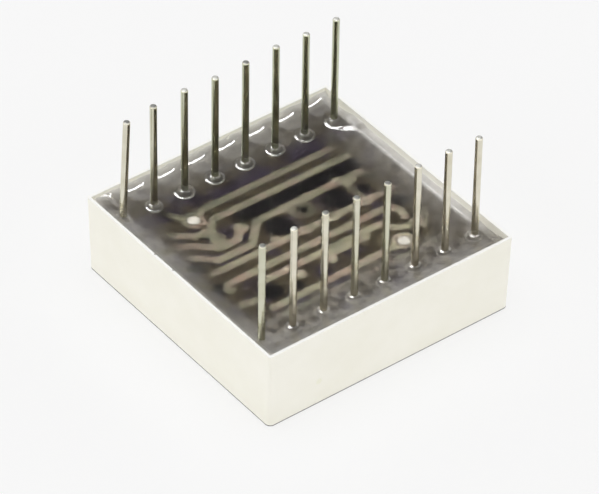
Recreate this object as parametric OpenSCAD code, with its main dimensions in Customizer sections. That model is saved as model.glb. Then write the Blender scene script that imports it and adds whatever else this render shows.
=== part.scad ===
// 8 x 8 LED dot matrix module, lying on its lit face with its pins up.
// Origin at the centre of the lit face, +Z towards the pins, +X along the pin rows. Millimetres.

/* [Housing] */
// Side of the square housing at its open back
body_side = 20.2; // [20:0.1:22]
// Height from the lit face to the rim at the back
body_h = 6.1; // [5.9:0.1:8]
// How far each outer wall leans in from the rim to the lit face
side_inset = 0.04; // [0:0.01:0.12]
// Width of the rim at its top
rim_w = 0.2; // [0.16:0.02:0.3]
// How much thicker the wall is where it meets the reflector block
wall_swell_t = 0.12; // [0.04:0.02:0.2]
// Radius of the upright corners at the lit face
face_corner_r = 0.4; // [0.3:0.1:1.2]
// Radius of the upright corners at the rim
rim_corner_r = 0.15; // [0.1:0.05:0.3]
// Thickness of the dark print on the lit face
print_t = 0.06; // [0.04:0.02:0.12]
// Diameter of the two locating pegs
peg_d = 0.84; // [0.5:0.02:1]
// How far the pegs stand out of the board
peg_stand = 0.06; // [0:0.02:0.2]

/* [Dots] */
// Dots along each side of the matrix
dot_n = 8; // [8:1:8]
// Spacing of the dots
dot_pitch = 2.5; // [2.3:0.05:2.5]
// Diameter of a dot at the lit face
dot_d = 1.9; // [1.6:0.05:2]
// Diameter of a reflector cup at the board
cup_d = 1.5; // [1.3:0.05:1.7]
// Side of a light emitting chip
chip_side = 0.3; // [0.2:0.02:0.36]
// Thickness of a chip
chip_t = 0.2; // [0.1:0.02:0.3]
// Diameter of a bond wire
wire_d = 0.04; // [0.03:0.005:0.06]
// Distance from a chip's centre to the pad that its bond wire lands on
wire_span = 0.5; // [0.44:0.02:0.54]
// Straight length of a bond wire between its loop and the chip
wire_leg = 0.05; // [0.02:0.01:0.2]
// Rim of the copper pad round a chip
chip_pad_edge = 0.07; // [0.03:0.01:0.1]
// Diameter of the pad under a bond wire's end
wire_pad_d = 0.26; // [0.16:0.02:0.3]

/* [Board] */
// Thickness of the circuit board
board_t = 1; // [0.8:0.1:1.2]
// Gap between the board's edge and the housing wall
board_gap = 0.12; // [0.05:0.01:0.2]
// Gap round a locating peg in its board hole
peg_gap = 0.05; // [0.02:0.01:0.1]
// Thickness of the copper on either side of the board
copper_t = 0.04; // [0.02:0.01:0.07]
// Width of a copper trace on the back
trace_w = 0.6; // [0.3:0.02:0.7]
// Diameter of the copper pad round a pin
pin_pad_d = 1.2; // [1.2:0.1:1.9]
// Diameter of the copper pad round a locating peg
peg_pad_d = 1.7; // [1.2:0.1:2]
// Bare edge of the board that the copper keeps off
edge_clear = 0.25; // [0.1:0.05:0.4]
// Diameter of the copper pad round a pin on the front
front_pad_d = 0.8; // [0.7:0.02:0.84]
// Width of a copper trace on the front
row_w = 0.2; // [0.1:0.02:0.24]
// Distance of each front trace from its line of dots
row_off = 0.5; // [0.44:0.02:0.56]

/* [Pins] */
// Pins in each of the two rows
pin_n = 8; // [8:1:8]
// Spacing of the pins along a row
pin_pitch = 2.54; // [2.45:0.01:2.56]
// Distance between the two rows of pins
row_gap = 15.24; // [15:0.02:15.6]
// Diameter of a pin
pin_d = 0.5; // [0.4:0.02:0.56]
// How far the pins stand above the rim
pin_stand = 7.5; // [3:0.1:12]
// Diameter of a pin where it is pressed into the board
pin_root_d = 0.54; // [0.5:0.01:0.6]
// Height of the rounding at a pin's tip
tip_h = 0.12; // [0.06:0.02:0.2]
// Lean of the first pin of the back row, in degrees
lean = 3; // [0:0.1:4]
// How far the leaning pin swells at its bend
bend_swell = 0.01; // [0.01:0.01:0.03]
// Diameter of a solder joint on the board
solder_d = 1.1; // [0.9:0.05:1.2]
// Height of a solder joint
solder_h = 0.3; // [0.2:0.02:0.4]
// Thickness of the solder at the top of a joint
solder_lip = 0.04; // [0.02:0.01:0.08]

/* [Potting resin] */
// Depth of the resin over the board's copper, in the middle
resin_depth = 0.49; // [0.4:0.01:0.9]
// How far the middle of the resin's surface lies below the rim
resin_sink = 0.95; // [0.85:0.01:1]
// How far below the rim the resin meets the wall
resin_edge = 0.1; // [0.06:0.01:0.2]
// Distance from the wall over which the climb of the resin falls to a third
climb_reach = 1.6; // [1:0.1:2]
// Width of the strip along a wall over which the resin climbs at all
climb_w = 4.5; // [3:0.1:5]
// Diameter of the raised collar round each pin
collar_d = 1.6; // [1.2:0.1:2.2]
// Height of the collar above the resin's middle, at the pin
collar_h = 0.3; // [0.2:0.02:0.4]
// Gap left between the cast resin and what it is cast against
cast_gap = 0.01; // [0.005:0.005:0.02]

/* [Hidden] */
$fn = 48;
eps = 0.01;
// Heights, worked down from the rim
resin_z = body_h - resin_sink;
back_z = resin_z - resin_depth;
board_top = back_z - copper_t;
board_z = board_top - board_t;
block_top = board_z - copper_t;
board_half = body_side / 2 - rim_w - wall_swell_t - board_gap;
copper_half = board_half - edge_clear;
// the pegs stand where four cups meet
peg_places = [[-2, 2] * dot_pitch, [2, -2] * dot_pitch];
curve_steps = 8;
etch_r = 0.08;
// What each pin came out longer than pin_stand, front row first
pin_extra = [-0.25, -0.1, -0.05, -0.05, -0.1, 0.1, 0.1, 0, -0.2, 0.1, 0.25, 0.1, 0.2, 0.35, 0.25, 0.35];

// Routes on the back of the board, in steps of the pin pitch
route_steps = [
    [[-1.97, 2], [-1.5, 2.2], [2.7, 2.2]],
    [[-2.8, 1.8], [-2.35, 1.45], [-1.95, 1.32], [-1.5, 1.7], [2.95, 1.7]],
    [[-1.95, 1.32], [-1.9, 1]],
    [[-1.15, 1], [-1.5, 0.66], [-2.1, 0.66], [-2.6, 1.15], [-2.95, 1.3]],
    [[2.8, 0.97], [-0.65, 0.97], [-1.3, 0.28], [-2.4, 0.28], [-2.8, 0.68], [-2.95, 0.75]],
    [[2.2, 0.97], [2.15, -0.08]],
    [[-2.85, -0.08], [3.1, -0.08]],
    [[-2.9, -0.8], [-2.8, -0.63], [2.5, -0.63], [2.68, -0.9], [2.6, -1.2]],
    [[-2, -1.06], [1.95, -1.06], [2.1, -1.4], [2.4, -1.55], [2.7, -1.5]],
    [[0.1, -1.25], [1.3, -1.25]],
    [[-2.4, -2.07], [1.97, -2]],
    [[-2.5, -2.48], [2.6, -2.48]],
    [[-3.1, -1.5], [-2.55, -1.56]],
    [[-2.5, 3], [-2.35, 2.45], [-2, 2]],
    [[2.95, 0.6], [2.75, 0.95]],
    [[2.8, -1.75], [3.15, -1.3]]
];
// Round pads on the back, in the same steps: place, diameter, diameter of the bare middle
pad_steps = [
    [-1.95, 1.32, 0.42, 0], [-1.9, 1, 0.44, 0], [-1.15, 1, 0.42, 0], [-2.9, -0.82, 0.34, 0],
    [0.58, 0.62, 0.74, 0.3], [0.22, 0.95, 0.32, 0], [1.05, 0.97, 0.34, 0], [2.05, 1, 0.34, 0],
    [2.4, 0.87, 0.36, 0], [-0.7, 0.02, 0.34, 0], [0.2, -0.1, 0.36, 0], [1.1, -0.1, 0.36, 0],
    [2.15, -0.1, 0.36, 0], [-1.05, -1.4, 0.4, 0], [0, -1.4, 0.36, 0]
];

function dot_at(k) = (k - (dot_n + 1) / 2) * dot_pitch;
// pins 1 to pin_n stand in the front row, the rest in the back row, each row counted along +X
function pin_place(k) = [
    ((k - 1) % pin_n - (pin_n - 1) / 2) * pin_pitch,
    k > pin_n ? row_gap / 2 : -row_gap / 2
];
function inner_half(z) = body_side / 2 - rim_w - wall_swell_t * (body_h - z) / (body_h - block_top);

module round_square(side, r) {
    for (turn = [0, 90]) rotate(turn) square([side - 2 * r, side], center = true);
    for (x = [-1, 1], y = [-1, 1]) translate([x, y] * (side / 2 - r)) circle(r);
}

module at_dots(row) {
    for (k = [1:dot_n]) translate([dot_at(k), dot_at(row), 0]) children();
}

module at_pins() {
    for (k = [1:2 * pin_n]) translate(pin_place(k)) children();
}

// Square block whose walls follow the inside of the housing between two heights
module cavity(z0, z1, gap) {
    a = inner_half(z0) - gap;
    b = inner_half(z1) - gap;
    polyhedron(
        points = concat(
            [for (p = [[-1, -1], [1, -1], [1, 1], [-1, 1]]) [p[0] * a, p[1] * a, z0]],
            [for (p = [[-1, -1], [1, -1], [1, 1], [-1, 1]]) [p[0] * b, p[1] * b, z1]]
        ),
        faces = [[0, 1, 2, 3], [7, 6, 5, 4], [0, 4, 5, 1], [1, 5, 6, 2], [2, 6, 7, 3], [3, 7, 4, 0]]
    );
}

module cups(row, gap) {
    at_dots(row) translate([0, 0, print_t])
        cylinder(h = block_top - print_t, d1 = dot_d - 2 * gap, d2 = cup_d - 2 * gap);
}

module housing() color("ivory") {
    difference() {
        hull() {
            translate([0, 0, print_t]) linear_extrude(eps)
                round_square(body_side - 2 * side_inset, face_corner_r);
            translate([0, 0, body_h - eps]) linear_extrude(eps) round_square(body_side, rim_corner_r);
        }
        cavity(block_top, body_h + 1, 0);
        for (row = [1:dot_n]) cups(row, 0);
    }
    for (p = peg_places) translate([p[0], p[1], block_top - eps])
        cylinder(h = board_top + peg_stand - block_top + eps, d = peg_d);
}

module face_print() color("dimgray")
    linear_extrude(print_t) difference() {
        round_square(body_side - 2 * side_inset, face_corner_r);
        for (row = [1:dot_n]) at_dots(row) circle(d = dot_d);
    }

// A chip hangs from the board's front, in the narrow end of its cup
module chip(gap) {
    side = chip_side + 2 * gap;
    translate([-side / 2, -side / 2, block_top - chip_t - gap]) cube([side, side, chip_t + 2 * gap]);
}

// A bond wire loops from the chip's face to its pad beside the chip
module bond_wire(gap) {
    d = wire_d + 2 * gap;
    bend_r = wire_span / 2;
    bend_z = block_top - chip_t - wire_leg;
    translate([bend_r, 0, bend_z]) rotate([-90, 0, 0])
        rotate_extrude(angle = 180) translate([bend_r, 0]) circle(d = d);
    translate([0, 0, bend_z]) cylinder(h = wire_leg, d = d);
    translate([wire_span, 0, bend_z]) cylinder(h = wire_leg + chip_t + gap, d = d);
}

module dot_fills(row) color("whitesmoke") difference() {
    cups(row, cast_gap);
    at_dots(row) {
        chip(cast_gap);
        bond_wire(cast_gap);
    }
}

module chips(row) color("gold") at_dots(row) chip(0);

module bond_wires(row) color("goldenrod") at_dots(row) bond_wire(0);

// What is pressed through the board, as a hole when the gap is above 0
module pin_root(gap) {
    translate([0, 0, block_top - gap])
        cylinder(h = body_h - block_top + gap, d1 = pin_root_d + 2 * gap, d2 = pin_d + 2 * gap);
}

module circuit_board() color([0.12, 0.11, 0.13]) difference() {
    translate([-board_half, -board_half, board_z]) cube([2 * board_half, 2 * board_half, board_t]);
    at_pins() pin_root(cast_gap);
    for (p = peg_places) translate([p[0], p[1], block_top])
        cylinder(h = body_h, d = peg_d + 2 * peg_gap);
}

module trace(points, w) {
    for (i = [1:len(points) - 1]) {
        step = points[i] - points[i - 1];
        translate(points[i - 1]) rotate(atan2(step[1], step[0])) translate([0, -w / 2])
            square([norm(step), w]);
    }
    for (p = points) translate(p) circle(d = w);
}

// Holes that both copper layers leave for the pins and the pegs
module copper_holes() {
    at_pins() circle(d = pin_root_d + 2 * cast_gap);
    for (p = peg_places) translate(p) circle(d = peg_d + 2 * peg_gap);
}

module back_copper() color([0.55, 0.5, 0.4]) translate([0, 0, board_top]) linear_extrude(copper_t)
    difference() {
        // etching rounds the inner corners where the routes and the pads meet
        offset(r = -etch_r, $fn = 16) offset(delta = etch_r) intersection() {
            square(2 * copper_half, center = true);
            union() {
                for (route = route_steps) trace(route * pin_pitch, trace_w, $fn = 16);
                for (p = pad_steps) translate([p[0], p[1]] * pin_pitch)
                    circle(d = p[2] * pin_pitch, $fn = 32);
                for (p = peg_places) translate(p) circle(d = peg_pad_d, $fn = 32);
                at_pins() circle(d = pin_pad_d, $fn = 32);
            }
        }
        for (p = pad_steps) if (p[3] > 0)
            translate([p[0], p[1]] * pin_pitch) circle(d = p[3] * pin_pitch, $fn = 32);
        copper_holes();
    }

module front_copper() color([0.7, 0.55, 0.3]) translate([0, 0, block_top]) linear_extrude(copper_t)
    difference() {
        union() {
            for (row = [1:dot_n]) {
                translate([dot_at(1), dot_at(row) + row_off - row_w / 2])
                    square([dot_at(dot_n) - dot_at(1), row_w]);
                at_dots(row) {
                    square(chip_side + 2 * chip_pad_edge, center = true);
                    translate([-row_w / 2, 0]) square([row_w, row_off]);
                    translate([wire_span, 0]) circle(d = wire_pad_d);
                }
            }
            at_pins() circle(d = front_pad_d);
        }
        copper_holes();
    }

// Tin drawn up round the pin in a hollow curve
module solder_joint(gap) {
    r0 = pin_root_d / 2;
    r1 = solder_d / 2;
    rotate_extrude() polygon(concat(
        [[0, back_z - gap], [r1 + gap, back_z - gap]],
        [for (i = [0:curve_steps]) let (u = i / curve_steps)
            [r1 + (r0 + solder_lip - r1) * u + gap, back_z + solder_h * u * u + gap]],
        [[0, back_z + solder_h + gap]]
    ));
}

module solder_joints() color("gray") at_pins() difference() {
    solder_joint(0);
    pin_root(cast_gap);
}

// How high the resin has climbed at a distance from the wall: an even decay that ends at climb_w
function climb(d) = (resin_sink - resin_edge)
    * (exp(-d / climb_reach) - exp(-climb_w / climb_reach)) / (1 - exp(-climb_w / climb_reach));

// Resin that has climbed one wall, as a prism along that wall
module resin_climb() {
    wall = inner_half(body_h);
    rotate([90, 0, 0]) linear_extrude(2 * wall, center = true) polygon(concat(
        [[wall - climb_w, back_z]],
        [for (i = [curve_steps:-1:0]) let (d = climb_w * pow(i / curve_steps, 1.5))
            [wall - d, resin_z + climb(d)]],
        [[wall, back_z]]
    ));
}

module resin_collar() {
    r0 = pin_d / 2;
    r1 = collar_d / 2;
    rotate_extrude() polygon(concat(
        [[0, back_z], [r1, back_z]],
        [for (i = [0:curve_steps]) let (u = i / curve_steps)
            [r1 + (r0 - r1) * u, resin_z + collar_h * u * u]],
        [[0, resin_z + collar_h]]
    ));
}

module potting_resin() color([0.25, 0.24, 0.26]) difference() {
    intersection() {
        cavity(back_z, body_h, cast_gap);
        union() {
            translate([-body_side / 2, -body_side / 2, back_z])
                cube([body_side, body_side, resin_z - back_z]);
            for (turn = [0:90:270]) rotate(turn) resin_climb();
            at_pins() resin_collar();
        }
    }
    at_pins() {
        pin_root(cast_gap);
        solder_joint(cast_gap);
    }
    for (p = peg_places) translate([p[0], p[1], board_z])
        cylinder(h = board_top + peg_stand + cast_gap - board_z, d = peg_d + 2 * cast_gap);
}

module pin_free(length) {
    r = pin_d / 2;
    rotate_extrude() polygon([
        [0, 0], [r, 0], [r, length - tip_h],
        [0.85 * r, length - 0.4 * tip_h], [0.5 * r, length], [0, length]
    ]);
}

// The first pin of the back row leans along its row
module pin(k) color("silver") translate(pin_place(k)) {
    tilt = k == pin_n + 1 ? lean : 0;
    pin_root(0);
    translate([0, 0, body_h]) {
        rotate([0, tilt, 0]) pin_free(pin_stand + pin_extra[k - 1]);
        if (tilt > 0) sphere(d = pin_d + 2 * bend_swell);
    }
}

housing();
face_print();
circuit_board();
back_copper();
front_copper();
solder_joints();
potting_resin();
for (k = [1:dot_n]) {
    dot_fills(k);
    chips(k);
    bond_wires(k);
}
for (k = [1:2 * pin_n]) pin(k);
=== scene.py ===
# %% [markdown]
# # An 8 x 8 LED dot matrix module
# The module lies on its lit face with its pins up. A white moulded housing holds a dark circuit
# board, and a glossy smoke-grey resin is cast over the board and round the pins. The solids come
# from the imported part, so this script only gives them their finish. One piece is modelled anew:
# the resin, whose curved surface makes most of the look.

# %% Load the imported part
import math

import bpy
import numpy as np
from mathutils import Matrix, Vector


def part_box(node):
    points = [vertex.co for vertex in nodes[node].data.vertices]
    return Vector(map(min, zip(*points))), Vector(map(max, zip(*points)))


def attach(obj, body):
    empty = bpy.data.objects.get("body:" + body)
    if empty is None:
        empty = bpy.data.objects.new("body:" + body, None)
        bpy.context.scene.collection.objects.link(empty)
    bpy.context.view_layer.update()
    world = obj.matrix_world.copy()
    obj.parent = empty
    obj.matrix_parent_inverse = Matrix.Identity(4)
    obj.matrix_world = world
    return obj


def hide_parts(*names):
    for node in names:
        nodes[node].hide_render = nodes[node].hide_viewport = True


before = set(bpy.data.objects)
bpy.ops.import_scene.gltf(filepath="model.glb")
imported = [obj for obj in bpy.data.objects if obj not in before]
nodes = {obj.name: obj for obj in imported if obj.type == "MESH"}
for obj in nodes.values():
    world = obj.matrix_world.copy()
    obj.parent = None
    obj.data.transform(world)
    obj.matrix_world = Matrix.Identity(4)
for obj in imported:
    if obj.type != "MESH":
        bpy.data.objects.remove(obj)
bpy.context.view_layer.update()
MM = 0.001

# %% [markdown]
# ## Sizes read from the part
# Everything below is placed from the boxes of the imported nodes, so it follows the part if the part
# changes. Lengths are kept in metres, as Blender has them.

# %% Heights and widths of the parts that the scene builds on
def middle_of(name):
    """The middle of a node's box."""
    low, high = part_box(name)
    return (np.array(low) + np.array(high)) / 2


RIM_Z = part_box("housing")[1][2]
BOARD_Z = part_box("circuit_board")[1][2]
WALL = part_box("potting_resin")[1][0]
ROW_Y = middle_of("pin_16")[1]
PITCH = middle_of("pin_3")[0] - middle_of("pin_2")[0]
PIN_X = PITCH * (np.arange(8) - 3.5)
PIN_R = (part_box("pin_2")[1][1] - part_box("pin_2")[0][1]) / 2
print(f"rim {RIM_Z / MM:.2f}, board {BOARD_Z / MM:.2f}, wall {WALL / MM:.2f} mm")
print(f"pins {PITCH / MM:.2f} apart, {PIN_R / MM:.2f} mm in radius")

# %% [markdown]
# ## The camera
# A long lens from far off keeps the sides of the small square almost parallel. The camera looks
# down on one corner, so both the front wall and the left wall show. It is placed by two angles
# round a point near the middle, which is easier to set than a place and three turns.

# %% Place the camera
AZIMUTH, ELEVATION, ROLL = -38.135, 40.354, 0.989
DISTANCE = 0.316809
AIM = Vector((2.579, 3.161, 0.0)) * MM


def aimed_matrix(azimuth, elevation, roll, distance, aim):
    """The camera sits at aim plus distance along back; its right and up vectors turn by roll."""
    a, e, r = (math.radians(v) for v in (azimuth, elevation, roll))
    back = Vector((math.sin(a) * math.cos(e), -math.cos(a) * math.cos(e), math.sin(e)))
    right = Vector((math.cos(a), math.sin(a), 0.0))
    up = back.cross(right)
    turned_right = right * math.cos(r) + up * math.sin(r)
    turned_up = up * math.cos(r) - right * math.sin(r)
    turn = Matrix((turned_right, turned_up, back)).transposed().to_4x4()
    return Matrix.Translation(aim + back * distance) @ turn


camera = bpy.data.objects.new("camera", bpy.data.cameras.new("camera"))
bpy.context.scene.collection.objects.link(camera)
camera.data.lens = 280.1
camera.data.sensor_width = 36.0
camera.data.clip_start, camera.data.clip_end = 0.01, 100.0
camera.matrix_world = aimed_matrix(AZIMUTH, ELEVATION, ROLL, DISTANCE, AIM)
bpy.context.scene.camera = camera
print("camera at", [round(v / MM, 1) for v in camera.location])

# %% [markdown]
# ## Helpers for materials
# A material is a small tree of shader nodes. These helpers add a node, set its sockets by name and
# join sockets, so that each finish below reads as a short list of what it is made of.

# %% Helpers for node trees
def new_material(name):
    """An empty material and its node tree, with only an output node in it."""
    material = bpy.data.materials.new(name)
    material.use_nodes = True
    tree = material.node_tree
    tree.nodes.clear()
    tree.nodes.new("ShaderNodeOutputMaterial")
    return material, tree


def input_of(node, key):
    """n0, n1 and so on are inputs by place; other keys are names, with _ for a space."""
    if key[0] == "n" and key[1:].isdigit():
        return node.inputs[int(key[1:])]
    return node.inputs[key.replace("_", " ")]


def add(tree, kind, settings=None, **sockets):
    """Adds a node; each input that is named takes a value or another node's output."""
    node = tree.nodes.new("ShaderNode" + kind)
    for key, value in (settings or {}).items():
        setattr(node, key, value)
    for key, value in sockets.items():
        socket = input_of(node, key)
        if isinstance(value, bpy.types.NodeSocket):
            tree.links.new(value, socket)
        else:
            socket.default_value = value
    return node


def output(tree, shader):
    """Joins a shader to the material's output."""
    tree.links.new(shader.outputs[0], tree.nodes["Material Output"].inputs["Surface"])


def maths(tree, operation, a, b=0.0):
    """A Math node on two values or sockets; returns its result socket."""
    return add(tree, "Math", {"operation": operation}, n0=a, n1=b).outputs[0]


def place_mm(tree, scale=(1.0, 1.0, 1.0)):
    """Object coordinates in millimetres, so that noise scales read as features per millimetre."""
    coordinates = add(tree, "TexCoord").outputs["Object"]
    factor = tuple(s / MM for s in scale)
    return add(tree, "Mapping", Vector=coordinates, Scale=factor).outputs[0]


def noise(tree, where, scale, detail=3.0, roughness=0.5):
    """A noise value from 0 to 1 with features about one over scale millimetres wide."""
    node = add(tree, "TexNoise", Vector=where, Scale=scale, Detail=detail, Roughness=roughness)
    return node.outputs["Fac"]


def ramp(tree, value, *stops):
    """Colours blended along a value; each stop is (place, (r, g, b))."""
    node = add(tree, "ValToRGB", Fac=value)
    elements = node.color_ramp.elements
    while len(elements) < len(stops):
        elements.new(0.5)
    for element, (place, colour) in zip(elements, stops):
        element.position = place
        element.color = (*colour, 1.0)
    return node.outputs["Color"]


def levels(tree, value, low, high, to_low=0.0, to_high=1.0):
    """Maps low to high onto to_low to to_high along a smooth S, held at the ends."""
    node = add(tree, "MapRange", {"interpolation_type": "SMOOTHSTEP"}, Value=value,
               From_Min=low, From_Max=high, To_Min=to_low, To_Max=to_high)
    return node.outputs["Result"]


def blend(tree, factor, a, b, mode="MIX"):
    """One colour laid over another."""
    node = add(tree, "Mix", {"data_type": "RGBA", "blend_type": mode})
    for socket, value in ((node.inputs[0], factor), (node.inputs[6], a), (node.inputs[7], b)):
        if isinstance(value, bpy.types.NodeSocket):
            tree.links.new(value, socket)
        else:
            socket.default_value = value if isinstance(value, float) else (*value, 1.0)
    return node.outputs[2]


def near(tree, where, place, inner, outer, value_in=1.0, value_out=0.0):
    """value_in within inner millimetres of a place, value_out beyond outer, smooth between them."""
    distance = add(tree, "VectorMath", {"operation": "DISTANCE"}, n0=where, n1=place)
    return levels(tree, distance.outputs["Value"], inner, outer, value_in, value_out)


def part_of(tree, vector, axis):
    """One of the three numbers of a vector."""
    return add(tree, "SeparateXYZ", Vector=vector).outputs["XYZ".index(axis)]


def bump(tree, height, strength, distance_mm):
    """A bumped normal; distance is how tall the height's full range stands."""
    return add(tree, "Bump", Height=height, Strength=strength, Distance=distance_mm * MM).outputs[0]


def dress(material, *names):
    """Gives CAD nodes one material for all their faces."""
    for name in names:
        mesh = nodes[name].data
        mesh.materials.clear()
        mesh.materials.append(material)
        mesh.polygons.foreach_set("material_index", [0] * len(mesh.polygons))
    print(material.name, "on", ", ".join(names))


# %% [markdown]
# ## White housing plastic
# The housing is moulded from an opaque ivory plastic with a fine satin surface. A soft mottling of
# the colour and a very fine grain keep it from looking like paint. The rim's top is painted a
# little whiter, a painted highlight, with two small nicks on the left, and the front wall has one
# faint stain.

# %% The housing's plastic, and where its blemishes are, in millimetres
STAIN = (-6.0, -10.1, 1.9)
NICKS = [(-9.9, 2.6, RIM_Z / MM), (-9.9, 0.6, RIM_Z / MM)]


def housing_plastic():
    """Mottled ivory, then the rim's top as a painted highlight, the stain and the nicks laid over it
    in that order.
    """
    material, tree = new_material("housing_plastic")
    where = place_mm(tree)
    mottle = noise(tree, where, 0.35, 4.0)
    colour = ramp(tree, mottle, (0.3, (0.90, 0.88, 0.78)), (0.7, (0.93, 0.91, 0.825)))
    # Painted highlight: the rim's top is blended towards a whiter ivory.
    top = levels(tree, part_of(tree, where, "Z"), RIM_Z / MM - 0.04, RIM_Z / MM - 0.01)
    colour = blend(tree, top, colour, (0.97, 0.965, 0.94))
    stained = near(tree, where, STAIN, 0.16, 0.30, 0.35)
    colour = blend(tree, stained, colour, (0.80, 0.80, 0.58))
    for nick in NICKS:
        colour = blend(tree, near(tree, where, nick, 0.06, 0.14), colour, (0.42, 0.41, 0.37))
    grain = noise(tree, where, 14.0, 3.0, 0.6)
    satin = levels(tree, grain, 0.2, 0.8, 0.38, 0.5)
    surface = add(tree, "BsdfPrincipled", Base_Color=colour, Roughness=satin, IOR=1.5,
                  Normal=bump(tree, grain, 0.35, 0.006))
    output(tree, surface)
    return material


dress(housing_plastic(), "housing")

# %% [markdown]
# ## Dark print on the lit face
# The lit face is printed dark so that unlit dots stand out less. The ink is matt and slightly
# uneven.

# %% The face's ink
def face_ink():
    """Near black, with a thin mist in the colour and a grain of fine bumps."""
    material, tree = new_material("face_ink")
    where = place_mm(tree)
    mist = noise(tree, where, 3.0, 4.0)
    colour = ramp(tree, mist, (0.3, (0.012, 0.012, 0.013)), (0.75, (0.022, 0.022, 0.024)))
    matt = levels(tree, mist, 0.2, 0.8, 0.5, 0.7)
    grain = bump(tree, noise(tree, where, 30.0), 0.5, 0.004)
    surface = add(tree, "BsdfPrincipled", Base_Color=colour, Roughness=matt, Normal=grain)
    output(tree, surface)
    return material


dress(face_ink(), "face_print")

# %% [markdown]
# ## Diffusing resin in the cups
# Each cup is filled with a milky resin that spreads its chip's light over the whole dot. Light
# enters it and comes out again nearby, which subsurface scattering gives.

# %% The cups' resin
def diffusing_resin():
    """Milky white with a faint cloud, lit from within by scattering."""
    material, tree = new_material("diffusing_resin")
    where = place_mm(tree)
    cloud = noise(tree, where, 0.8, 3.0)
    colour = ramp(tree, cloud, (0.3, (0.8, 0.8, 0.76)), (0.7, (0.86, 0.86, 0.83)))
    orange_peel = bump(tree, noise(tree, where, 6.0), 0.2, 0.004)
    surface = add(tree, "BsdfPrincipled", Base_Color=colour, Roughness=0.3, Subsurface_Weight=0.3,
                  Subsurface_Scale=0.6 * MM, Subsurface_Radius=(1.0, 0.95, 0.8),
                  Normal=orange_peel)
    output(tree, surface)
    return material


ROWS = range(1, 9)
dress(diffusing_resin(), *[f"dot_fills_{k}" for k in ROWS])

# %% [markdown]
# ## The board and its copper
# The board is dark glass-fibre laminate. The copper on its back lies under a thin mask and shows
# through the resin as dull tan lines, greener in some places and pinker in others. Neither has a
# gloss of its own, because the resin wets them and only the resin's surface shines.

# %% Board laminate; each spot is (x, y, radius) in millimetres
BARE_SPOTS = [(-0.75, 1.2, 1.0), (4.1, 1.15, 1.05), (-5.2, -3.85, 0.8), (-3.4, -4.4, 0.45),
              (6.2, 0.9, 0.5), (7.5, -1.5, 0.6), (-7.9, 0.9, 0.6), (-7.8, -1.8, 0.6),
              (1.6, 1.55, 0.35)]
BARE_BAND_X, BARE_BAND_Y = 2.6, 3.4
BLUER_BAND_Y = 6.6


def away_from(tree, where, axis, middle):
    """The distance from middle along one axis, |value - middle|."""
    return maths(tree, "ABSOLUTE", maths(tree, "SUBTRACT", part_of(tree, where, axis), middle))


def board_laminate():
    """Brown where a thin mask covers the glass fibre, near black in bare spots and one bare band.

    The mask is a little bluer along the back row of pins.
    """
    material, tree = new_material("board_laminate")
    where = place_mm(tree)
    flat = place_mm(tree, (1.0, 1.0, 0.0))
    across = levels(tree, away_from(tree, flat, "Y", BARE_BAND_Y), 0.4, 0.8, 1.0, 0.0)
    along = levels(tree, away_from(tree, flat, "X", BARE_BAND_X), 4.8, 5.6, 1.0, 0.0)
    bare = maths(tree, "MULTIPLY", across, along)
    for x, y, r in BARE_SPOTS:
        spot = near(tree, flat, (x, y, 0.0), r - 0.2, r + 0.2)
        bare = maths(tree, "MAXIMUM", bare, spot)
    bluer = levels(tree, away_from(tree, flat, "Y", BLUER_BAND_Y), 0.5, 1.2, 0.14, 0.0)
    patches = maths(tree, "SUBTRACT", noise(tree, where, 0.45, 3.0, 0.6), bluer)
    masked = ramp(tree, patches, (0.34, (0.056, 0.046, 0.068)), (0.48, (0.080, 0.066, 0.046)),
                  (0.7, (0.10, 0.085, 0.055)))
    colour = blend(tree, bare, masked, (0.014, 0.013, 0.015))
    surface = add(tree, "BsdfPrincipled", Base_Color=colour, Roughness=0.5,
                  Specular_IOR_Level=0.0)
    output(tree, surface)
    return material


# %% Copper under its mask; each pad is (x, y, radius) in millimetres
DULL_PADS = [(1.5, 1.4, 1.0), (5.5, 1.1, 0.7), (7.3, 1.4, 0.8)]


def masked_copper():
    """Tan copper with green, pink and orange patches, multiplied by a grey shade.

    The shade darkens towards the edges, a little from front to back, and round three pads.
    """
    material, tree = new_material("masked_copper")
    where = place_mm(tree)
    flat = place_mm(tree, (1.0, 1.0, 0.0))
    patches = noise(tree, where, 0.75, 3.0)
    colour = ramp(tree, patches, (0.34, (0.22, 0.22, 0.17)), (0.44, (0.32, 0.305, 0.21)),
                  (0.52, (0.34, 0.31, 0.24)), (0.59, (0.375, 0.31, 0.25)),
                  (0.68, (0.35, 0.265, 0.205)))
    shade = levels(tree, away_from(tree, flat, "X", 0.0), 6.0, 8.6, 1.0, 0.4)
    to_rows = levels(tree, away_from(tree, flat, "Y", 0.0), 5.0, 7.0, 1.0, 0.22)
    shade = maths(tree, "MULTIPLY", shade, to_rows)
    to_back = levels(tree, part_of(tree, flat, "Y"), -4.0, 4.0, 1.25, 1.0)
    shade = maths(tree, "MULTIPLY", shade, to_back)
    for x, y, r in DULL_PADS:
        pad = near(tree, flat, (x, y, 0.0), r - 0.4, r + 0.3, 0.42, 1.0)
        shade = maths(tree, "MULTIPLY", shade, pad)
    grey = add(tree, "CombineColor", Red=shade, Green=shade, Blue=shade).outputs[0]
    colour = blend(tree, 1.0, colour, grey, "MULTIPLY")
    surface = add(tree, "BsdfPrincipled", Base_Color=colour, Roughness=0.55,
                  Specular_IOR_Level=0.0)
    output(tree, surface)
    return material


dress(board_laminate(), "circuit_board")
dress(masked_copper(), "back_copper")

# %% [markdown]
# ## Hidden metal
# The copper under the chips is gold flashed, the bond wires are gold, and the joints are dull tin.
# None of it shows from outside, but it is there for anyone who opens the part, so one short
# function gives each metal its tone.

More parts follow.
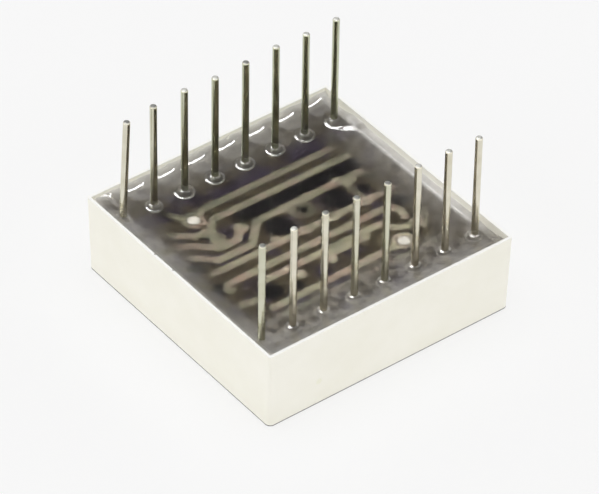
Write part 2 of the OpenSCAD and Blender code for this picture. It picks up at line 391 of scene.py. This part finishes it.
# %% Gold, tin and the chips
def plain_metal(name, low, high, rough):
    """A metal whose colour drifts a little from low to high, with fine drawing or casting marks."""
    material, tree = new_material(name)
    where = place_mm(tree)
    drift = noise(tree, where, 1.5, 3.0)
    colour = ramp(tree, drift, (0.3, low), (0.7, high))
    marks = levels(tree, noise(tree, where, 9.0), 0.2, 0.8, rough - 0.06, rough + 0.08)
    surface = add(tree, "BsdfPrincipled", Base_Color=colour, Metallic=1.0, Roughness=marks)
    output(tree, surface)
    return material


def chip_crystal():
    """A yellowish crystal, lighter and darker in fine saw marks."""
    material, tree = new_material("chip_crystal")
    where = place_mm(tree)
    saw_marks = noise(tree, where, 20.0, 2.0)
    colour = ramp(tree, saw_marks, (0.3, (0.45, 0.36, 0.08)), (0.7, (0.62, 0.5, 0.14)))
    surface = add(tree, "BsdfPrincipled", Base_Color=colour, Roughness=0.35, IOR=2.0)
    output(tree, surface)
    return material


dress(plain_metal("bare_copper", (0.8, 0.56, 0.25), (0.87, 0.66, 0.36), 0.3), "front_copper")
dress(plain_metal("solder", (0.15, 0.145, 0.13), (0.22, 0.21, 0.19), 0.5), "solder_joints")
gold_wire = plain_metal("gold_wire", (0.88, 0.65, 0.27), (0.93, 0.73, 0.38), 0.22)
dress(gold_wire, *[f"bond_wires_{k}" for k in ROWS])
dress(chip_crystal(), *[f"chips_{k}" for k in ROWS])

# %% [markdown]
# ## Tinned pins
# A pin is drawn wire with a bright tin coat, a little warm in colour. Upright round pins mirror
# what lies around their feet, so the reflections do most of the work: the roughness stays low and
# long fine streaks run along the pin. No two pins look the same. Most of the back row's tin is
# darker, and so is that of some front pins. Some cut ends are painted bright, a painted highlight,
# where others are dull. So each pin has a material of its own, made by one function.

# %% The pins' tin
PIN_DARKENING = [0.55, 0.0, 0.1, 0.3, 0.45, 0.0, 0.0, 0.0, 0.2, 0.5, 0.9] + [1.0] * 5
# The pins listed next have a lighter cut end: a painted highlight on their tips.
HIGHLIGHT_TIPS = (2, 6, 7, 8, 11, 12, 14, 15, 16)
HIGHLIGHT_TIP_TONE, PLAIN_TIP_TONE = 0.25, 0.11


def tinned_wire(name, tip_mm, darkening, tip_tone):
    """Streaked tin, darker by its darkening but for the last bit below its tip.

    The cut end has a grey tone of its own, lighter where it is a painted highlight, and is rougher
    than the side.
    """
    material, tree = new_material(name)
    where = place_mm(tree)
    stains = noise(tree, where, 0.9, 4.0)
    colour = ramp(tree, stains, (0.3, (0.68, 0.64, 0.51)), (0.7, (0.78, 0.745, 0.635)))
    height = part_of(tree, where, "Z")
    darkened = levels(tree, height, tip_mm - 0.12, tip_mm - 0.04, darkening, 0.2 * darkening)
    colour = blend(tree, darkened, colour, (0.70, 0.77, 0.69), "MULTIPLY")
    cut = levels(tree, height, tip_mm - 0.10, tip_mm - 0.02)
    # The lighter tip tone is a painted highlight.
    colour = blend(tree, cut, colour, (tip_tone, tip_tone, 0.94 * tip_tone))
    streaks = noise(tree, place_mm(tree, (1.0, 1.0, 0.06)), 9.0, 3.0)
    drawn = levels(tree, streaks, 0.25, 0.75, 0.07, 0.15)
    rough = maths(tree, "ADD", drawn, maths(tree, "MULTIPLY", cut, 0.45))
    surface = add(tree, "BsdfPrincipled", Base_Color=colour, Metallic=1.0, Roughness=rough,
                  Normal=bump(tree, streaks, 0.25, 0.006))
    output(tree, surface)
    return material


for k, darkening in enumerate(PIN_DARKENING, start=1):
    tip_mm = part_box(f"pin_{k}")[1][2] / MM
    tip_tone = HIGHLIGHT_TIP_TONE if k in HIGHLIGHT_TIPS else PLAIN_TIP_TONE
    dress(tinned_wire(f"tin_{k}", tip_mm, darkening, tip_tone), f"pin_{k}")

# %% [markdown]
# ## The cast resin
# The resin is poured in and creeps up what it wets. It stands low in the middle and climbs each
# wall. Towards +X the climb is lower and ends in a short straight ramp, and it is lower still at
# the two ends of that wall. Each pin of the back row has a fine film up its side and stands in a
# small round mound, but for the last one, which stands in a pool that runs on to the right. The
# front pins, all but the first, have narrow feet, and the last of them has a mound too. Along the
# back wall the surface waves a little, once for each pin.
#
# The surface has one height for each place, so it is worked out on a grid and not modelled by
# hand. Flanks have one slope all along, because a flank mirrors a lamp only where its slope is
# right for it.

# %% Curves that the resin's height is made of
def smooth(value, low, high):
    """0 below low, 1 above high, with a smooth S between them: 3 t squared less 2 t cubed."""
    t = np.clip((value - low) / (high - low), 0.0, 1.0)
    return t * t * (3.0 - 2.0 * t)


def soft_ramp(value, low, high, rounding):
    """0 below low, then value - low, then held above high.

    Both bends are rounded: log(1 + exp(t)) stands in for the larger of 0 and t.
    """
    rise = np.logaddexp(0.0, (value - low) / rounding)
    return rounding * (rise - np.logaddexp(0.0, (value - high) / rounding))


BEND_MM = 0.02


def flank(r, outer_mm, width_mm, slope):
    """A flat top whose edge falls with one slope over the last width_mm before outer_mm."""
    fallen = soft_ramp(r / MM, outer_mm - width_mm, outer_mm, BEND_MM)
    return slope * (width_mm - fallen) * MM


# %% Climb at the walls
MIDDLE = RIM_Z - 0.95 * MM
EDGE = RIM_Z - 0.30 * MM
RISE = EDGE - MIDDLE
CLIMB_FALL = 1.0 * MM
RAMP_MM = 0.4


def climb(gap, steep):
    """RISE times exp(-gap / CLIMB_FALL), gap being the distance from the wall.

    Where steep is 1 that is halved, and a straight ramp RAMP_MM wide is added.
    """
    even = np.exp(-gap / CLIMB_FALL)
    straight = 1.0 - soft_ramp(gap / MM, 0.0, RAMP_MM, 0.03) / RAMP_MM
    return RISE * (even * (1.0 - 0.5 * steep) + 0.2 * steep * straight)


def walls(x, y):
    """a + b - a b / RISE, where a and b are the climbs of the side walls and of the other two."""
    right = smooth(x, 0.0, 2.0 * MM)
    lower = 0.5 * right * smooth(np.abs(y), 6.4 * MM, 8.0 * MM)
    a = climb(WALL - np.abs(x), right) * (1.0 - lower)
    b = climb(WALL - np.abs(y), 0.0)
    return a + b - a * b / RISE


def ripple(x, y):
    """Zigzag waves by the back wall, one for each pin but the first.

    arcsin(0.96 sin(t)) is a zigzag with rounded turns, and t makes one turn from pin to pin.
    """
    zigzag = np.arcsin(0.96 * np.sin(2.0 * np.pi * (x / PITCH - 0.40)))
    tall = 0.10 * PITCH / (2.0 * np.pi) * (1.0 - smooth(WALL - y, 0.8 * MM, 2.0 * MM))
    return tall * zigzag * smooth(x, PIN_X[0] + 0.1 * MM, PIN_X[0] + 0.5 * MM)


print(f"resin: middle {MIDDLE / MM:.2f}, at the walls about {EDGE / MM:.2f} mm")

# %% Mounds and feet at the pins; radii in millimetres
MOUND_SLOPE = 0.37
FOOT_SLOPE = 0.44
MOUND_R = [0.50, 0.62, 0.75, 0.71, 0.72, 0.71, 0.75]
FILM_TALL = 0.06 * MM
FILM_FALL = 0.1 * MM


def mound(x, y, pin, outer_mm, width_mm):
    """A round mound whose middle lies a little to the left of its pin and in front of it."""
    r = np.hypot(x - pin[0] + 0.12 * MM, y - pin[1] + 0.15 * MM)
    return flank(r, outer_mm, width_mm, MOUND_SLOPE)


def film(x, y, pin):
    """FILM_TALL at the pin's side, falling to a third every FILM_FALL away from it."""
    r = np.hypot(x - pin[0], y - pin[1])
    return FILM_TALL * np.exp(-np.maximum(r - PIN_R, 0.0) / FILM_FALL)


def feet(x, y):
    """The back row's films and mounds, the front row's narrow feet and its last pin's mound."""
    z = mound(x, y, (PIN_X[7], -ROW_Y), 0.64, 0.1)
    for pin_x in PIN_X:
        z = z + film(x, y, (pin_x, ROW_Y))
    for pin_x, outer_mm in zip(PIN_X, MOUND_R):
        z = z + mound(x, y, (pin_x, ROW_Y), outer_mm, 0.15)
    for pin_x in PIN_X[1:]:
        z = z + flank(np.hypot(x - pin_x, y + ROW_Y), 0.42, 0.16, FOOT_SLOPE)
    return z


def pool(x, y):
    """A pool round the last back pin's left and front, which runs straight on to the right.

    Its edge is a flank 0.2 mm wide, which grows to 0.35 mm on the right. Aside is measured to
    the camera's right and ahead towards the camera, both along the board.
    """
    from_x = x - PIN_X[7] - 0.04 * MM
    from_y = y - ROW_Y + 0.27 * MM
    aside = 0.787 * from_x - 0.617 * from_y
    ahead = -0.617 * from_x - 0.787 * from_y
    r = np.hypot(np.minimum(aside, 0.0), np.maximum(ahead, 0.0))
    width_mm = 0.2 + 0.15 * smooth(aside, -0.2 * MM, 0.6 * MM)
    edge = flank(r, 0.75 + width_mm, width_mm, MOUND_SLOPE)
    return edge * smooth(ahead, -1.5 * MM, 0.0)


# %% The whole height
WAVE_TALL = 0.008 * MM


def resin_height(x, y):
    """The middle's height plus the walls' climbs, the pins' feet, the pool and the waves."""
    waves = WAVE_TALL * np.sin(x / (1.9 * MM) + 0.7) * np.sin(y / (2.3 * MM) + 1.9)
    return MIDDLE + walls(x, y) + feet(x, y) + pool(x, y) + ripple(x, y) + waves


print(f"resin in the very middle: {resin_height(np.zeros(1), np.zeros(1))[0] / MM:.2f} mm")

# %% [markdown]
# ### The resin's mesh
# The grid's lines lie close together near the pins and further apart in the middle. The height
# over the grid gives the top, a straight skirt goes down into the housing, and one face closes the
# floor. The top is shaded with the slope of the formula, taken a hair's breadth to either side of
# each point, and not with the slope of its faces, so narrow flanks mirror the lamps cleanly.

# %% Grid lines that crowd round the pins
def crowded_lines(end, centres, fine, coarse, reach):
    """Places from -end to end, spaced finely within reach of a centre and coarsely elsewhere.

    The lines' count grows by 1 / spacing along the way, so equal steps of it are the places.
    """
    samples = np.linspace(-end, end, 4001)
    away = np.min(np.abs(samples[:, None] - np.asarray(centres)[None, :]), axis=1)
    spacing = fine + (coarse - fine) * smooth(away, reach, reach + 0.8 * MM)
    count = np.concatenate([[0.0], np.cumsum((samples[1] - samples[0]) / spacing[1:])])
    return np.interp(np.linspace(0.0, count[-1], int(round(count[-1])) + 1), count, samples)


BURIED = 0.08 * MM
x_lines = crowded_lines(WALL + BURIED, PIN_X,
                        fine=0.050 * MM, coarse=0.090 * MM, reach=0.9 * MM)
y_lines = crowded_lines(WALL + BURIED, (-ROW_Y, ROW_Y),
                        fine=0.045 * MM, coarse=0.130 * MM, reach=1.2 * MM)
print("resin grid:", len(x_lines), "by", len(y_lines))

# %% Close the grid into a casting
def top_normals(height, x, y):
    """(-dz/dx, -dz/dy, 1) made one long, each slope taken across two steps of 0.002 mm."""
    step = 0.002 * MM
    slope_x = (height(x + step, y) - height(x - step, y)) / (2.0 * step)
    slope_y = (height(x, y + step) - height(x, y - step)) / (2.0 * step)
    normal = np.stack([-slope_x, -slope_y, np.ones_like(x)], axis=-1).reshape(-1, 3)
    return normal / np.linalg.norm(normal, axis=1, keepdims=True)


def casting_faces(shape):
    """Corners and face sizes for a grid of quads, a skirt round it and one floor face.

    The skirt's lower points follow the grid's own. rim lists the grid's edge points in turn.
    """
    index = np.arange(shape[0] * shape[1]).reshape(shape)
    quads = np.stack([index[:-1, :-1], index[1:, :-1], index[1:, 1:], index[:-1, 1:]], axis=-1)
    quads = quads.reshape(-1, 4)
    rim = np.concatenate([index[:-1, 0], index[-1, :-1], index[:0:-1, -1], index[0, :0:-1]])
    low = index.size + np.arange(len(rim))
    skirt = np.stack([rim, low, np.roll(low, -1), np.roll(rim, -1)], axis=-1)
    corners = np.concatenate([quads.ravel(), skirt.ravel(), low[::-1]])
    sizes = np.concatenate([np.full(len(quads) + len(skirt), 4), [len(rim)]])
    return corners, sizes, quads, rim


# %% Build the casting
def casting_mesh(name, x_lines, y_lines, height, floor_z):
    """The height over the grid is the top, and its edge drops straight to floor_z."""
    x, y = np.meshgrid(x_lines, y_lines, indexing="ij")
    top = np.stack([x, y, height(x, y)], axis=-1).reshape(-1, 3)
    corners, sizes, quads, rim = casting_faces(x.shape)
    low = top[rim].copy()
    low[:, 2] = floor_z
    mesh = bpy.data.meshes.new(name)
    mesh.vertices.add(len(top) + len(low))
    mesh.vertices.foreach_set("co", np.concatenate([top, low]).ravel())
    mesh.loops.add(len(corners))
    mesh.loops.foreach_set("vertex_index", corners)
    mesh.polygons.add(len(sizes))
    mesh.polygons.foreach_set("loop_start", np.concatenate([[0], np.cumsum(sizes)[:-1]]))
    mesh.polygons.foreach_set("use_smooth", np.arange(len(sizes)) < len(quads))
    mesh.update(calc_edges=True)
    mesh.validate()
    corner_normals = np.zeros((len(corners), 3))
    corner_normals[:quads.size] = top_normals(height, x, y)[quads.ravel()]
    mesh.normals_split_custom_set(corner_normals)
    piece = bpy.data.objects.new(name, mesh)
    bpy.context.scene.collection.objects.link(piece)
    return piece


INTO_BOARD = 0.04 * MM
resin = casting_mesh("cast_resin", x_lines, y_lines, resin_height, BOARD_Z - INTO_BOARD)
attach(resin, "root")
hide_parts("potting_resin")
print("resin faces:", len(resin.data.polygons))

# %% [markdown]
# ## What the resin looks like
# It is clear, a little smoky, and mirrors like glass. Under the mirror its refraction is rough,
# which softens the board's lines. Towards the walls and over the front row a grey haze lies over
# the board: partly the resin being thicker and milkier there, partly a painted reflection of the
# white surroundings on the resin's climb. At the very rim the haze turns pale, a painted reflection
# of the white surroundings. Lamps reach the board through it: for shadow rays the glass is swapped
# for a tinted clear shader.

# %% The resin's haze, and three places in millimetres where it is thinner
THINNER_HAZE = (((-9.0, -2.5, 5.5), 0.12), ((9.0, 9.0, 5.5), 0.65))
FRONT_RIGHT = (9.9, -7.6, 5.5)


def resin_haze(tree, where):
    """The haze's share and its colour, which is partly a painted reflection.

    It is ragged along the walls, mottled over the front row of pins and pale at the rim, where the
    pale colour is a painted reflection of the white surroundings. gap is the distance from the
    nearest wall, with the corners rounded.
    """
    wall = WALL / MM
    gap_x = maths(tree, "SUBTRACT", wall, maths(tree, "ABSOLUTE", part_of(tree, where, "X")))
    gap_y = maths(tree, "SUBTRACT", wall, maths(tree, "ABSOLUTE", part_of(tree, where, "Y")))
    gap = add(tree, "Math", {"operation": "SMOOTH_MIN"}, n0=gap_x, n1=gap_y, n2=1.0).outputs[0]
    ragged = maths(tree, "ADD", gap, maths(tree, "MULTIPLY", noise(tree, where, 0.45, 3.0), 1.2))
    share = levels(tree, ragged, 0.9, 4.4, 0.35, 0.01)
    for place, thinner in THINNER_HAZE:
        share = maths(tree, "MULTIPLY", share, near(tree, where, place, 1.0, 5.0, thinner, 1.0))
    streak = noise(tree, where, 1.3, 4.0, 0.6)
    front = levels(tree, part_of(tree, where, "Y"), -7.2, -4.8, 0.32, 0.0)
    front = maths(tree, "MULTIPLY", front, levels(tree, streak, 0.35, 0.65, 0.65, 1.15))
    share = maths(tree, "MAXIMUM", share, front)
    haze_and_painted_reflection = ramp(tree, streak, (0.36, (0.33, 0.305, 0.27)), (0.62, (0.64, 0.605, 0.545)))
    # Painted reflection: near the rim the haze turns pale and its share rises, standing in for the
    # white surroundings mirrored on the resin's climb.
    gap_back = maths(tree, "SUBTRACT", wall, part_of(tree, where, "Y"))
    edge = maths(tree, "MAXIMUM", levels(tree, gap_back, -0.3, 0.7, 1.0, 0.0),
                 levels(tree, gap, -0.3, 1.0, 0.75, 0.0))
    # Less of this painted reflection towards the front end of the right wall.
    edge = maths(tree, "MULTIPLY", edge, near(tree, where, FRONT_RIGHT, 1.0, 4.0, 0.45, 1.0))
    haze_and_painted_reflection = blend(tree, edge, haze_and_painted_reflection, (0.9, 0.88, 0.84))
    return maths(tree, "MAXIMUM", share, maths(tree, "MULTIPLY", edge, 0.95)), haze_and_painted_reflection


# %% The resin's material
def resin_roughness(tree, where):
    """Nearly smooth in the middle, rougher in strips along the front, left and right walls."""
    front = levels(tree, part_of(tree, where, "Y"), -9.9, -8.2, 0.35, 0.03)
    left = levels(tree, part_of(tree, where, "X"), -9.9, -8.4, 0.40, 0.03)
    right = levels(tree, part_of(tree, where, "X"), 9.05, 9.35, 0.03, 0.36)
    return maths(tree, "MAXIMUM", maths(tree, "MAXIMUM", front, left), right)


def resin_shine(tree, where):
    """How much of its mirror the resin keeps: all, but a quarter at the right wall's front end."""
    front_end = levels(tree, part_of(tree, where, "Y"), -8.0, -5.0, 0.25, 1.0)
    away_from_wall = levels(tree, part_of(tree, where, "X"), 9.0, 9.3, 1.0, 0.0)
    return maths(tree, "MAXIMUM", front_end, away_from_wall)


def potting():
    """A rough refraction under a mirror, then a clear tint for shadow rays, then the haze."""
    material, tree = new_material("potting")
    where = place_mm(tree)
    haze_share, haze_and_painted_reflection = resin_haze(tree, where)
    rough = resin_roughness(tree, where)
    shine = resin_shine(tree, where)
    body = add(tree, "BsdfRefraction", Color=(0.86, 0.85, 0.84, 1.0), Roughness=0.38, IOR=1.5)
    mirror = add(tree, "BsdfGlossy", Color=(1.0, 1.0, 1.0, 1.0), Roughness=rough)
    share = maths(tree, "MULTIPLY", add(tree, "Fresnel", IOR=1.5).outputs[0], shine)
    glass = add(tree, "MixShader", Fac=share, n1=body.outputs[0], n2=mirror.outputs[0])
    clear = add(tree, "BsdfTransparent", Color=(0.8, 0.79, 0.78, 1.0))
    haze = add(tree, "BsdfPrincipled", Base_Color=haze_and_painted_reflection, Roughness=rough, IOR=1.5,
               Specular_IOR_Level=maths(tree, "MULTIPLY", shine, 0.5))
    shadow = add(tree, "LightPath").outputs["Is Shadow Ray"]
    lets_through = add(tree, "MixShader", Fac=shadow, n1=glass.outputs[0], n2=clear.outputs[0])
    hazy = add(tree, "MixShader", Fac=haze_share, n1=lets_through.outputs[0], n2=haze.outputs[0])
    output(tree, hazy)
    return material


resin.data.materials.append(potting())
print("potting on", resin.name)

# %% [markdown]
# ## Floor and light
# The module lies on white paper in a pale surround. The surround has a dark belt where the flat
# resin mirrors it towards the camera, so that the resin looks deep. Narrow lamps stand end to end
# in an arc overhead. Their mirror images are the bright crescents round the pins and the dashes
# along the back wall. A short side lamp lengthens the crescents, and a broad weak window brightens
# the strip of resin along the right wall. The lamps show in gloss alone and leave matt surfaces
# to the surround, so that they cast no hard shadows.

# %% Floor
def paper():
    """White paper that glows a little wherever it is seen, and shows nothing from below."""
    material, tree = new_material("paper")
    sheet = add(tree, "BsdfDiffuse", Color=(0.9, 0.9, 0.9, 1.0))
    glow = add(tree, "Emission", Color=(0.94, 0.94, 0.94, 1.0), Strength=1.06)
    path = add(tree, "LightPath").outputs
    seen = maths(tree, "MAXIMUM", path["Is Camera Ray"], path["Is Glossy Ray"])
    seen = maths(tree, "MAXIMUM", seen, path["Is Transmission Ray"])
    glowing = maths(tree, "MULTIPLY", seen, 0.6)
    shown = add(tree, "MixShader", Fac=glowing, n1=sheet.outputs[0], n2=glow.outputs[0])
    under = add(tree, "BsdfTransparent")
    back = add(tree, "NewGeometry").outputs["Backfacing"]
    one_sided = add(tree, "MixShader", Fac=back, n1=shown.outputs[0], n2=under.outputs[0])
    output(tree, one_sided)
    return material


def flat_square(name, side, z):
    """One square face that looks up."""
    mesh = bpy.data.meshes.new(name)
    h = side / 2
    mesh.from_pydata([(-h, -h, z), (h, -h, z), (h, h, z), (-h, h, z)], [], [(0, 1, 2, 3)])
    piece = bpy.data.objects.new(name, mesh)
    bpy.context.scene.collection.objects.link(piece)
    return piece


paper_floor = flat_square("paper_floor", 20.0, -0.005 * MM)
paper_floor.data.materials.append(paper())
print("floor under the part:", paper_floor.name)

# %% Surround
def surround():
    """Bright low down, dark in a belt and bright overhead, by the height z of the direction.

    It is a little dimmer in front, and dimmer low down on the far side. The camera sees white.
    """
    world = bpy.data.worlds.new("surround")
    bpy.context.scene.world = world
    world.use_nodes = True
    tree = world.node_tree
    tree.nodes.clear()
    direction = add(tree, "TexCoord").outputs["Generated"]
    x, y, z = (part_of(tree, direction, axis) for axis in "XYZ")
    low = levels(tree, z, 0.45, 0.58, 1.47, 0.10)
    behind = maths(tree, "ADD", maths(tree, "MULTIPLY", x, 0.62), maths(tree, "MULTIPLY", y, 0.78))
    low = maths(tree, "MULTIPLY", low, levels(tree, behind, 0.3, 0.85, 1.0, 0.7))
    high = levels(tree, z, 0.72, 0.84, 0.0, 1.4)
    side = levels(tree, y, -1.0, 0.2, 0.88, 1.0)
    strength = maths(tree, "MULTIPLY", maths(tree, "ADD", low, high), side)
    light = add(tree, "Background", Color=(1.0, 1.0, 1.0, 1.0), Strength=strength)
    white = add(tree, "Background", Color=(0.94, 0.94, 0.94, 1.0), Strength=1.0)
    camera_ray = add(tree, "LightPath").outputs["Is Camera Ray"]
    mixed = add(tree, "MixShader", Fac=camera_ray, n1=light.outputs[0], n2=white.outputs[0])
    tree.links.new(mixed.outputs[0], tree.nodes.new("ShaderNodeOutputWorld").inputs["Surface"])


surround()
print("world:", bpy.context.scene.world.name)

# %% Arc of narrow lamps
LAMP_FAR = 0.6
LAMP_RADIANCE = 30.0
WINDOW_RADIANCE = 6.0
ARC = [(0.02, 0.69, 0.725), (-0.01, 0.65, 0.76), (-0.05, 0.55, 0.84), (-0.07, 0.45, 0.89),
       (-0.05, 0.32, 0.95), (0.01, 0.19, 0.98), (0.11, 0.10, 0.99), (0.25, 0.03, 0.97),
       (0.39, 0.01, 0.92), (0.53, 0.03, 0.85)]
WIDE_COUNT = 6


def strip_lamp(name, towards, along, width_deg, length_deg, radiance):
    """A rectangle lamp LAMP_FAR away, as wide and long as the two angles seen from the object.

    It lies towards one direction and is long along the other. Its power is radiance times pi
    times its area.
    """
    lamp = bpy.data.lights.new(name, "AREA")
    lamp.shape = "RECTANGLE"
    lamp.size = LAMP_FAR * math.radians(length_deg)
    lamp.size_y = LAMP_FAR * math.radians(width_deg)
    lamp.energy = radiance * math.pi * lamp.size * lamp.size_y
    spot = bpy.data.objects.new(name, lamp)
    bpy.context.scene.collection.objects.link(spot)
    back = Vector(towards).normalized()
    side = (Vector(along) - back * back.dot(Vector(along))).normalized()
    turn = Matrix((side, back.cross(side), back)).transposed().to_4x4()
    spot.matrix_world = Matrix.Translation(back * LAMP_FAR) @ turn
    spot.visible_diffuse = False


for number, (here, ahead) in enumerate(zip(ARC, ARC[1:])):
    here, ahead = Vector(here).normalized(), Vector(ahead).normalized()
    width = 8.0 if number < WIDE_COUNT else 4.0
    length = math.degrees(here.angle(ahead)) + 1.0
    strip_lamp(f"lamp_{number}", here + ahead, ahead - here, width, length, LAMP_RADIANCE)
strip_lamp("lamp_side", (-0.08, 0.12, 0.985), (-0.15, 0.03, 0.0), 7.0, 11.0, LAMP_RADIANCE)
strip_lamp("window", (-0.33, 0.6, 0.72), (-0.30, 0.0, -0.13), 14.0, 18.0, WINDOW_RADIANCE)

# %% The view transform
bpy.context.scene.view_settings.view_transform = "Standard"
